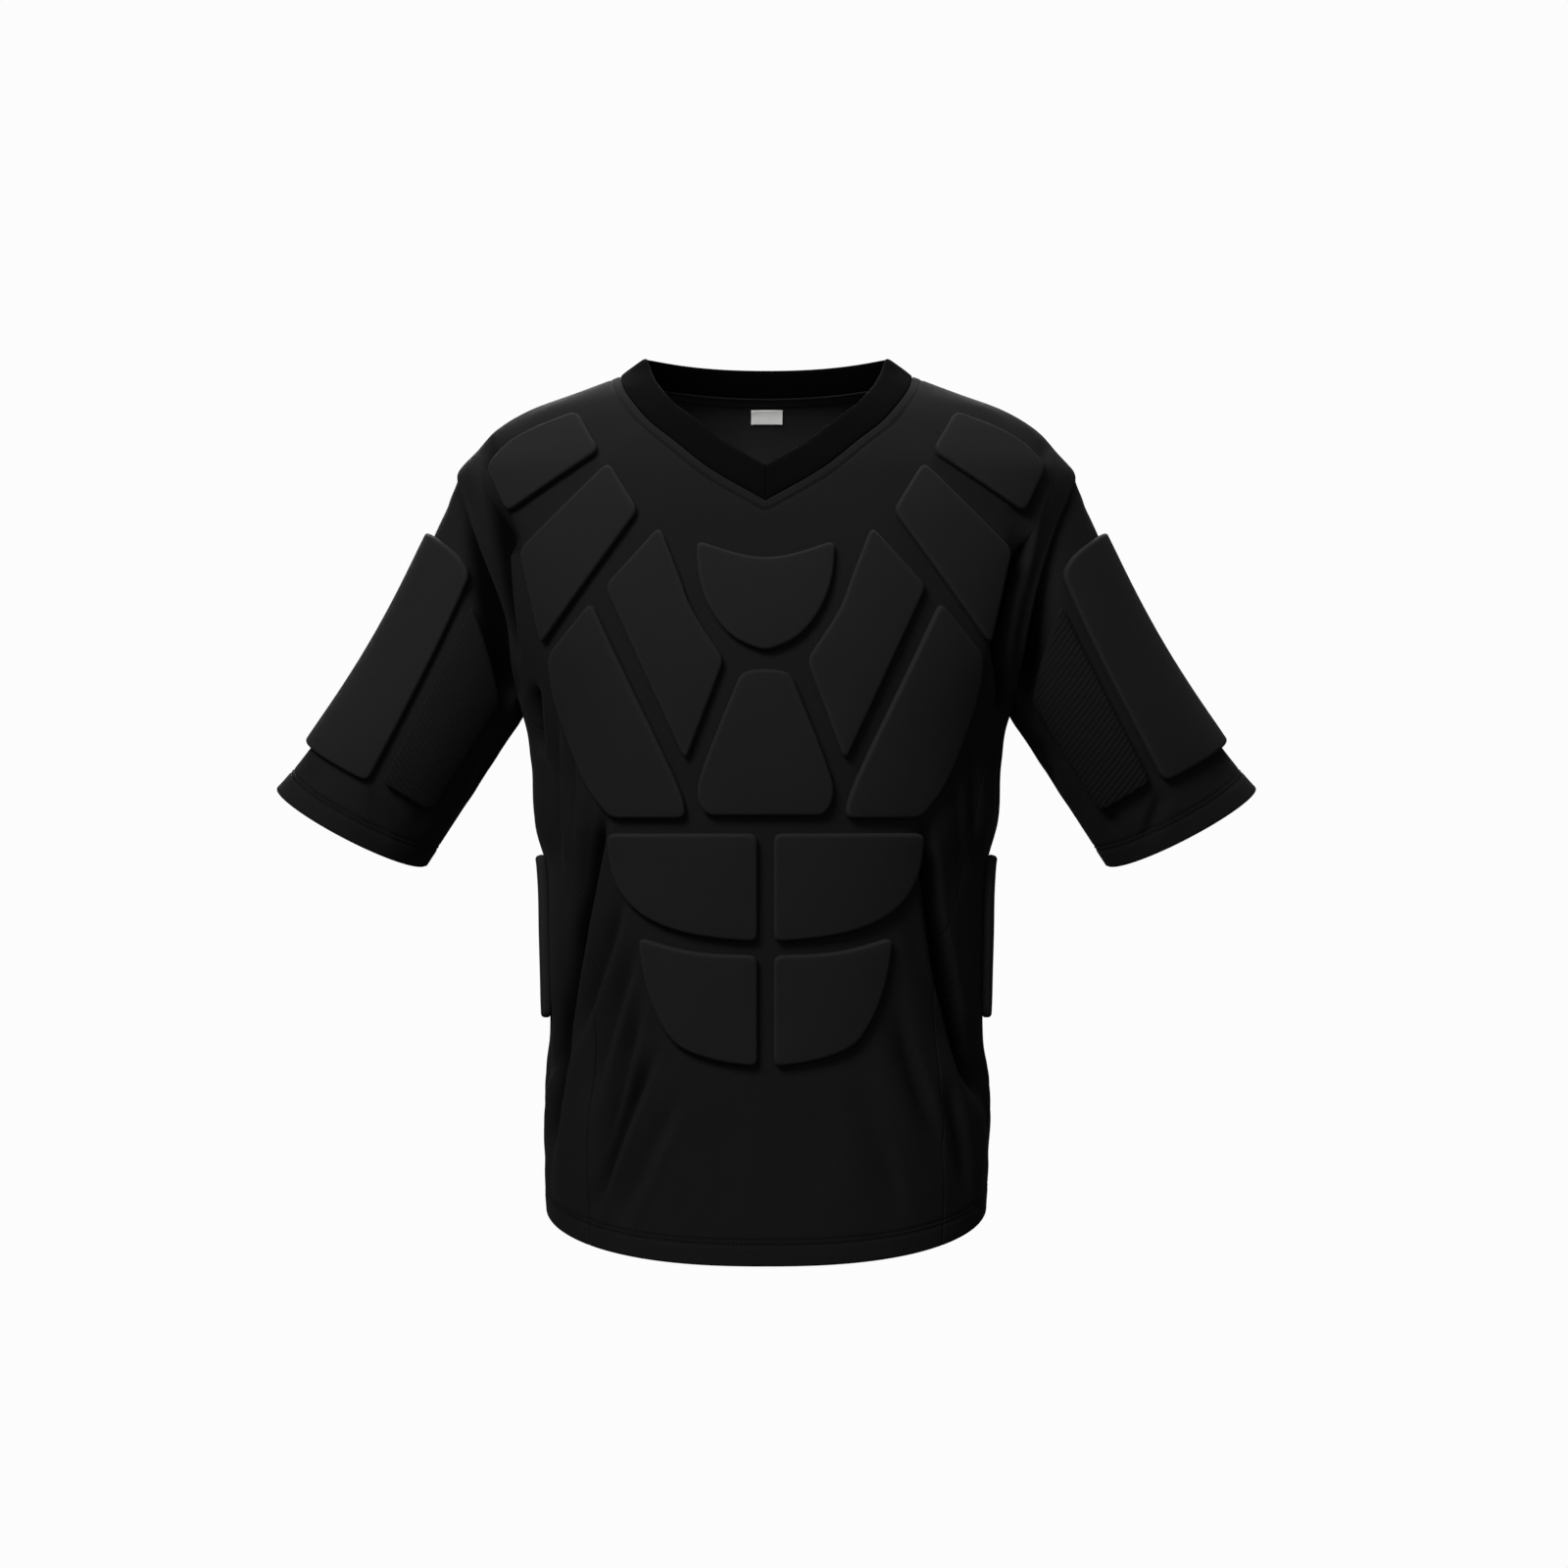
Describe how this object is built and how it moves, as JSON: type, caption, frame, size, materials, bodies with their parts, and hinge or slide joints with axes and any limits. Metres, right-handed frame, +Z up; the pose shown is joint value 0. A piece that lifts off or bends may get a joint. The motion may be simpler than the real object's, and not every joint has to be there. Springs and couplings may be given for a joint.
{
  "type": "padded compression shirt",
  "caption": "Short-sleeved V-neck knit shirt with moulded foam pads on the chest, abdomen, ribs, shoulders and upper arms, hollow and filled out as worn.",
  "frame": {"origin": "middle of the neck opening, level with the points where the collar seam crosses the shoulder seams, where the wearer's shoulders hold the shirt up", "axes": "+Z up, the front faces -Y, +X towards the wearer's left sleeve"},
  "size_m": [0.7592, 0.2526, 0.6874],
  "materials": {
    "body_knit": "matte black stretch knit",
    "collar_rib": "matte black folded rib",
    "pad": "matte black knit bonded over foam",
    "pad_mesh": "black ribbed mesh bonded over foam",
    "label": "bare white woven tape"
  },
  "bodies": {
    "root": {"front_panel": "body_knit", "back_panel": "body_knit", "side_panel_left": "body_knit", "side_panel_right": "body_knit", "sleeve_left": "body_knit", "sleeve_right": "body_knit", "collar": "collar_rib", "neck_label": "label", "pad_sternum": "pad", "pad_centre_chest": "pad", "pad_chest_inner_left": "pad", "pad_chest_inner_right": "pad", "pad_chest_outer_left": "pad", "pad_chest_outer_right": "pad", "pad_shoulder_top_left": "pad", "pad_shoulder_top_right": "pad", "pad_shoulder_front_left": "pad", "pad_shoulder_front_right": "pad", "pad_abs_upper_left": "pad", "pad_abs_upper_right": "pad", "pad_abs_lower_left": "pad", "pad_abs_lower_right": "pad", "pad_ribs_left": "pad", "pad_ribs_right": "pad", "pad_sleeve_outer_left": "pad", "pad_sleeve_outer_right": "pad", "pad_sleeve_inner_left": "pad_mesh", "pad_sleeve_inner_right": "pad_mesh"}
  },
  "joints": []
}
